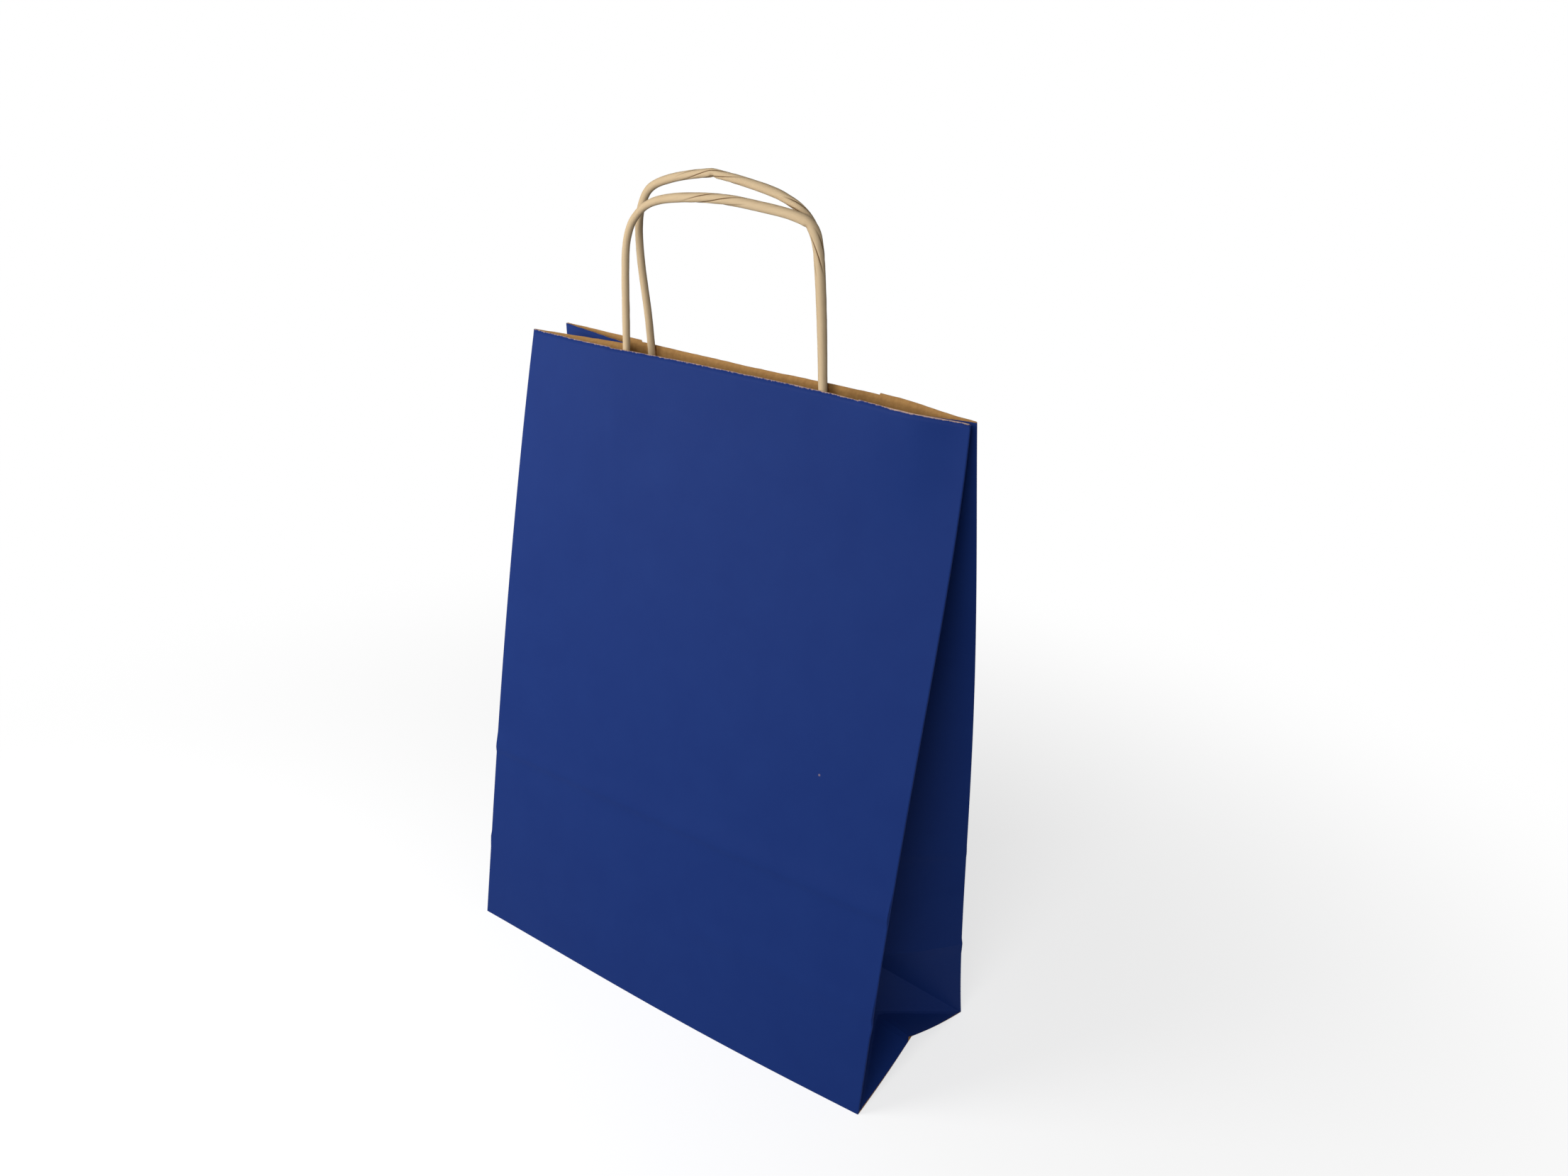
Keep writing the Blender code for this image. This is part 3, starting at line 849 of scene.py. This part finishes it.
    # What the paper's material reads
    length = add(tree, "ShaderNodeCombineXYZ", {2: along})
    on_paper = add(tree, "ShaderNodeVectorMath", {0: turned, 1: length}, operation="ADD")
    stored = add(tree, "GeometryNodeStoreNamedAttribute",
                 {"Geometry": shaped, "Name": "cord_place",
                  "Value": on_paper}, data_type="FLOAT_VECTOR", domain="POINT")
    # Strength of the painted shade: the opened folds, and the pinched underside at the kink
    dark = add(tree, "ShaderNodeMath", {0: opened, 1: pinch}, operation="MAXIMUM")
    stored = add(tree, "GeometryNodeStoreNamedAttribute",
                 {"Geometry": stored, "Name": "cord_fold_shade_amount", "Value": dark},
                 data_type="FLOAT", domain="POINT")
    stored = add(tree, "GeometryNodeStoreNamedAttribute",
                 {"Geometry": stored, "Name": "cord_kink_shade_amount", "Value": pinch},
                 data_type="FLOAT", domain="POINT")
    soft = add(tree, "GeometryNodeSetShadeSmooth", {0: stored})
    real = add(tree, "GeometryNodeRealizeInstances", {0: soft})
    painted = add(tree, "GeometryNodeSetMaterial",
                  {"Geometry": real, "Material": inputs["Paper"]})
    add(tree, "NodeGroupOutput", {0: painted})
    return tree


def swell_at(swell, route, point):
    """The cord's thickness beside its diameter: its legs keep that of the arch's ends."""
    start, end = route[0].x, route[-1].x
    shares, sizes = zip(*swell)
    return float(np.interp((point.x - start) / (end - start), shares, sizes))


def arch_length(route, step, point):
    """Distance along the route to the point of it nearest a point of the arch."""
    x, z = point[0], MOUTH_HEIGHT + point[1]
    nearest = min(range(len(route)), key=lambda k: math.hypot(route[k].x - x, route[k].z - z))
    return nearest * step


def make_handle(name, outward, arch, lean, swell, openings, kink, start, tree, paper):
    step = 0.0015
    route = smooth_points(handle_route(outward, arch, lean), step)
    curve = bpy.data.curves.new(name + "_path", "CURVE")
    curve.dimensions = "3D"
    spline = curve.splines.new("POLY")
    spline.points.add(len(route) - 1)
    spline.points.foreach_set("co", [v for p in route for v in (*p, 1.0)])
    spline.points.foreach_set("radius", [swell_at(swell, route, p) for p in route])
    path = link_object(name + "_path", curve)
    cord = path.modifiers.new("cord", "NODES")
    cord.node_group = tree
    sockets = {item.name: item.identifier for item in tree.interface.items_tree
               if item.in_out == "INPUT"}
    (first, first_reach), (second, second_reach) = openings
    for label, value in (("Radius", CORD_DIAMETER / 2), ("Twist per metre", TWIST_PER_METRE),
                         ("Twist start", start), ("First opening", arch_length(route, step, first)),
                         ("First reach", first_reach),
                         ("Second opening", arch_length(route, step, second)),
                         ("Second reach", second_reach), ("Fold depth", 0.00022),
                         ("Kink", arch_length(route, step, kink)), ("Shape seed", start * 3.1),
                         ("Paper", paper)):
        cord[sockets[label]] = value
    bpy.context.view_layer.update()
    mesh = bpy.data.meshes.new_from_object(
        path.evaluated_get(bpy.context.evaluated_depsgraph_get()))
    bpy.data.objects.remove(path)
    return link_object(name, mesh)


def make_patch(name, outward, arch, paper):
    """A strip that lies flat on the panel and rises in a channel over each cord."""
    legs = (arch[0][0], arch[-1][0])
    centre = (legs[0] + legs[1]) / 2
    xs = np.linspace(centre - PATCH_WIDTH / 2, centre + PATCH_WIDTH / 2, 129)
    top = MOUTH_HEIGHT - PATCH_DROP
    sheet = Sheet()
    rows = []
    for z in np.linspace(top - PATCH_HEIGHT, top, 25):
        row = []
        for x in xs:
            channel = hump(min(abs(x - leg) for leg in legs), CHANNEL_REACH)
            distance = GAP + 0.0003 + (CORD_DIAMETER + GAP) * channel
            row.append(Vector((x, panel_inside(outward, x, z, distance), z)))
        rows.append(sheet.add(row, [(p.x, p.z) for p in row]))
    sheet.weave(rows)
    return paper_piece(name, sheet, (0, outward, 0), (paper,))


# Materials

def start_material(name, level):
    """A matt surface: level is how strongly it reflects beside a plain dielectric at 0.5."""
    material = bpy.data.materials.new(name)
    material.use_nodes = True
    tree = material.node_tree
    tree.nodes.clear()
    shader = add(tree, "ShaderNodeBsdfPrincipled", {"Metallic": 0.0, "IOR": 1.45,
                                                    "Specular IOR Level": level})
    add(tree, "ShaderNodeOutputMaterial", {"Surface": shader})
    return material, tree, shader


def cover(material, shader, colour, rough, height, strength):
    """Gives the shader its colour, roughness and fine bump, and returns the material."""
    tree = material.node_tree
    bump = add(tree, "ShaderNodeBump",
               {"Height": height, "Strength": strength, "Distance": BUMP_DEPTH})
    give(tree, shader, {"Base Color": colour, "Roughness": rough, "Normal": bump})
    return material


def blue_flexo_print():
    """Flexographic ink on kraft: matt, slightly cloudy, with fine fibre, rubbed at its edges."""
    material, tree, shader = start_material("blue_flexo_print_on_kraft", 0.17)
    place = add(tree, "ShaderNodeTexCoord").outputs["Object"]
    cloud = add(tree, "ShaderNodeTexNoise", {"Vector": place, "Scale": 45.0, "Detail": 3.0,
                                             "Roughness": 0.6})
    # Fibres are 0.03 mm wide, and are drawn 1 mm wide so that they show.
    grain = add(tree, "ShaderNodeTexNoise", {"Vector": place, "Scale": 900.0, "Detail": 3.0,
                                             "Roughness": 0.65})
    mixed = add(tree, "ShaderNodeMath", {0: grain, 1: 0.5, 2: cloud}, operation="MULTIPLY_ADD")
    tone = add(tree, "ShaderNodeMapRange", {"Value": mixed, "From Min": 0.45,
                                            "From Max": 1.05})
    ink = add(tree, "ShaderNodeMix", {0: tone, 6: linear(BLUE_PRINT), 7: linear(BLUE_PRINT_WORN)},
              data_type="RGBA").outputs[2]
    # The ink has come off along the sawn mouth and the ends of the base, and in one fleck.
    apart = add(tree, "ShaderNodeAttribute", attribute_name="from_worn_edge").outputs["Fac"]
    ragged = add(tree, "ShaderNodeMath", {0: grain, 1: 0.0011, 2: apart},
                 operation="MULTIPLY_ADD")
    rubbed = add(tree, "ShaderNodeMapRange", {"Value": ragged, "From Min": 0.00070,
                                              "From Max": 0.00105, "To Min": 0.85,
                                              "To Max": 0.0})
    fleck = (FLECK[0], panel_surface(-1, FLECK[0], FLECK[1] / MOUTH_HEIGHT), FLECK[1])
    fleck = add(tree, "ShaderNodeVectorMath", {0: place, 1: fleck}, operation="DISTANCE")
    fleck = add(tree, "ShaderNodeMapRange", {"Value": fleck.outputs["Value"],
                                             "From Min": 0.0002, "From Max": 0.0007,
                                             "To Min": 0.35, "To Max": 0.0})
    bare = add(tree, "ShaderNodeMath", {0: rubbed, 1: fleck}, operation="MAXIMUM")
    colour = add(tree, "ShaderNodeMix", {0: bare, 6: ink, 7: linear(KRAFT_EDGE)},
                 data_type="RGBA").outputs[2]
    rough = add(tree, "ShaderNodeMapRange", {"Value": grain, "To Min": 0.55, "To Max": 0.70})
    return cover(material, shader, colour, rough, grain, 0.35)


def brown_kraft(name, pale, dark):
    """Unprinted kraft: its fibres and ribs give the eye a warm, dull, faintly streaked brown."""
    material, tree, shader = start_material(name, 0.15)
    place = add(tree, "ShaderNodeAttribute", attribute_name="sheet_place").outputs["Vector"]
    long = add(tree, "ShaderNodeMapping", {"Vector": place, "Scale": (1.0, 0.08, 1.0)})
    ribs = add(tree, "ShaderNodeTexNoise", {"Vector": long, "Scale": 1 / KRAFT_RIB, "Detail": 2.0,
                                            "Roughness": 0.5})
    grain = add(tree, "ShaderNodeTexNoise", {"Vector": place, "Scale": 700.0, "Detail": 3.0,
                                             "Roughness": 0.6})
    blend = add(tree, "ShaderNodeMath", {0: ribs, 1: 0.8, 2: grain},
                operation="MULTIPLY_ADD")
    tone = add(tree, "ShaderNodeMapRange", {"Value": blend, "From Min": 0.50,
                                            "From Max": 1.30})
    paper = add(tree, "ShaderNodeMix", {0: tone, 6: linear(dark), 7: linear(pale)},
                data_type="RGBA").outputs[2]
    return cover(material, shader, paper, 0.8, blend, 0.3)


def cord_paper():
    """Twisted kraft cord: pale and dull, with slanting fibres, and painted shade in its fold lines
    where the twist has opened and under its kink.
    """
    material, tree, shader = start_material("twisted_kraft_cord", 0.15)
    place = add(tree, "ShaderNodeAttribute", attribute_name="cord_place").outputs["Vector"]
    opened = add(tree, "ShaderNodeAttribute", attribute_name="cord_fold_shade_amount").outputs["Fac"]
    pinch = add(tree, "ShaderNodeAttribute", attribute_name="cord_kink_shade_amount").outputs["Fac"]
    stretch = add(tree, "ShaderNodeMapping", {"Vector": place, "Scale": (1.0, 1.0, 0.10)})
    fibre = add(tree, "ShaderNodeTexNoise", {"Vector": stretch, "Scale": 800.0,
                                             "Detail": 1.0, "Roughness": 0.5})
    paper = add(tree, "ShaderNodeMix", {0: fibre, 6: linear(CORD_DARK), 7: linear(CORD_PALE)},
                data_type="RGBA").outputs[2]
    # Painted shade: the fold lines darken where the twist has opened, and the underside darkens at
    # the kink
    fold = add(tree, "ShaderNodeMapRange", {"Value": off_fold(tree, place), "From Min": 1.5e-7,
                                            "From Max": 6.5e-7, "To Min": 1.0,
                                            "To Max": 0.0})
    fold = add(tree, "ShaderNodeMath", {0: fold, 1: opened}, operation="MULTIPLY")
    dark = add(tree, "ShaderNodeMath", {0: pinch, 1: 0.6, 2: fold}, operation="MULTIPLY_ADD",
               use_clamp=True)
    paper_with_painted_fold_shade = add(tree, "ShaderNodeMix", {0: dark, 6: paper, 7: linear(CORD_PAINTED_FOLD_SHADE)},
                 data_type="RGBA").outputs[2]
    return cover(material, shader, paper_with_painted_fold_shade, 0.75, fibre, 0.06)


# Stage

def make_floor():
    """A white floor: the camera sees it white, with the bag's shadow kept round its foot."""
    mesh = bpy.data.meshes.new("studio_floor")
    size = 4.0
    mesh.from_pydata([(-size, -size, 0), (size, -size, 0), (size, size, 0), (-size, size, 0)],
                     [], [(0, 1, 2, 3)])
    material, tree, shader = start_material("white_studio_floor", 0.0)
    give(tree, shader, {"Base Color": linear(FLOOR_GREY), "Roughness": 0.9})
    seen = seen_ray(tree)
    place = add(tree, "ShaderNodeTexCoord").outputs["Object"]
    far = add(tree, "ShaderNodeVectorMath", {0: place}, operation="LENGTH").outputs["Value"]
    near = add(tree, "ShaderNodeMapRange", {"Value": far, "From Min": 0.16, "From Max": 0.60,
                                            "To Min": 0.5, "To Max": 0.0},
               interpolation_type="SMOOTHSTEP")
    own = add(tree, "ShaderNodeMath", {0: near, 1: -FLOOR_LIGHT, 2: 1.0},
              operation="MULTIPLY_ADD")
    white = add(tree, "ShaderNodeEmission", {"Color": linear(WHITE),
                                             "Strength": own})
    lit = add(tree, "ShaderNodeBsdfDiffuse", {"Color": near})
    shown = add(tree, "ShaderNodeAddShader", {0: white, 1: lit})
    both = add(tree, "ShaderNodeMixShader", {0: seen, 1: shader, 2: shown})
    output = next(node for node in tree.nodes if node.type == "OUTPUT_MATERIAL")
    tree.links.new(both.outputs[0], output.inputs["Surface"])
    mesh.materials.append(material)
    floor = link_object("studio_floor", mesh)


def seen_ray(tree):
    """1 where the camera, a reflection or clear material looks, and 0 for light that bounces."""
    path = add(tree, "ShaderNodeLightPath").outputs
    seen = add(tree, "ShaderNodeMath", {0: path["Is Camera Ray"], 1: path["Is Glossy Ray"]},
               operation="MAXIMUM")
    return add(tree, "ShaderNodeMath", {0: seen, 1: path["Is Transmission Ray"]},
               operation="MAXIMUM")


def make_world():
    world = bpy.data.worlds.new("studio")
    bpy.context.scene.world = world
    world.use_nodes = True
    tree = world.node_tree
    tree.nodes.clear()
    room = add(tree, "ShaderNodeBackground", {"Color": linear(WHITE), "Strength": 0.10})
    white = add(tree, "ShaderNodeBackground", {"Color": linear(WHITE), "Strength": 1.0})
    both = add(tree, "ShaderNodeMixShader",
               {0: seen_ray(tree), 1: room, 2: white})
    add(tree, "ShaderNodeOutputWorld", {"Surface": both})


def make_lamp(name, place, size, power):
    lamp = bpy.data.lights.new(name, "AREA")
    lamp.shape = "DISK"
    lamp.size = size
    lamp.energy = power
    item = link_object(name, lamp)
    item.location = place
    item.rotation_euler = (Vector(LAMP_AIM) - Vector(place)).to_track_quat("-Z", "Y").to_euler()


def make_camera():
    yaw, pitch, roll = CAMERA_YAW, CAMERA_PITCH, CAMERA_ROLL
    ahead = Vector((-math.sin(yaw) * math.cos(pitch), math.cos(yaw) * math.cos(pitch),
                    -math.sin(pitch)))
    level = Vector((math.cos(yaw), math.sin(yaw), 0.0))
    above = level.cross(ahead)
    right = level * math.cos(roll) + above * math.sin(roll)
    up = above * math.cos(roll) - level * math.sin(roll)
    camera = bpy.data.cameras.new("camera")
    camera.sensor_width = SENSOR_WIDTH
    camera.lens = SENSOR_WIDTH * FOCAL_PIXELS / PHOTO_WIDTH
    camera.clip_start = 0.01
    item = link_object("camera", camera)
    turn = Matrix((right, up, -ahead)).transposed().to_4x4()
    item.matrix_world = Matrix.Translation(CAMERA_PLACE) @ turn
    bpy.context.scene.camera = item


def main():
    print_blue = blue_flexo_print()
    inside = brown_kraft("brown_kraft_inside", KRAFT_INSIDE, KRAFT_FIBRE)
    edge = brown_kraft("cut_kraft_edge", CUT_PAPER, KRAFT_INSIDE)
    strip = brown_kraft("glued_kraft_strip", KRAFT_INSIDE, KRAFT_FIBRE)
    cord = cord_paper()
    printed = (print_blue, inside, edge)

    bag = paper_piece("bag_sheet", make_sheet(), (0, -1, 0), printed)
    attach(bag, "root")
    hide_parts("bag")

    flaps = Sheet()
    for flap in (FRONT_FLAP, BACK_FLAP):
        add_flap(flaps, *flap)
    base = paper_piece("glued_base_flaps", flaps, (0, 0, -1), printed)
    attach(base, "root")

    tree = cord_tree()
    for name, outward, arch, lean, swell, openings, kink, start in (
            ("front_twisted_handle", -1, FRONT_ARCH, FRONT_HANDLE_LEAN, FRONT_SWELL,
             FRONT_OPENINGS, FRONT_KINK, 0.0),
            ("back_twisted_handle", 1, BACK_ARCH, BACK_HANDLE_LEAN, BACK_SWELL,
             BACK_OPENINGS, BACK_KINK, 0.6)):
        handle = make_handle(name, outward, arch, lean, swell, openings, kink, start, tree, cord)
        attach(handle, "root")
        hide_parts("front_handle" if outward < 0 else "back_handle")
    for name, outward, arch in (("front_glued_strip", -1, FRONT_ARCH),
                                ("back_glued_strip", 1, BACK_ARCH)):
        patch = make_patch(name, outward, arch, strip)
        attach(patch, "root")
        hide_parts("front_handle_patch" if outward < 0 else "back_handle_patch")

    make_floor()
    make_world()
    for lamp in LAMPS:
        make_lamp(*lamp)
    make_camera()
    bpy.context.scene.view_settings.view_transform = "Standard"


main()
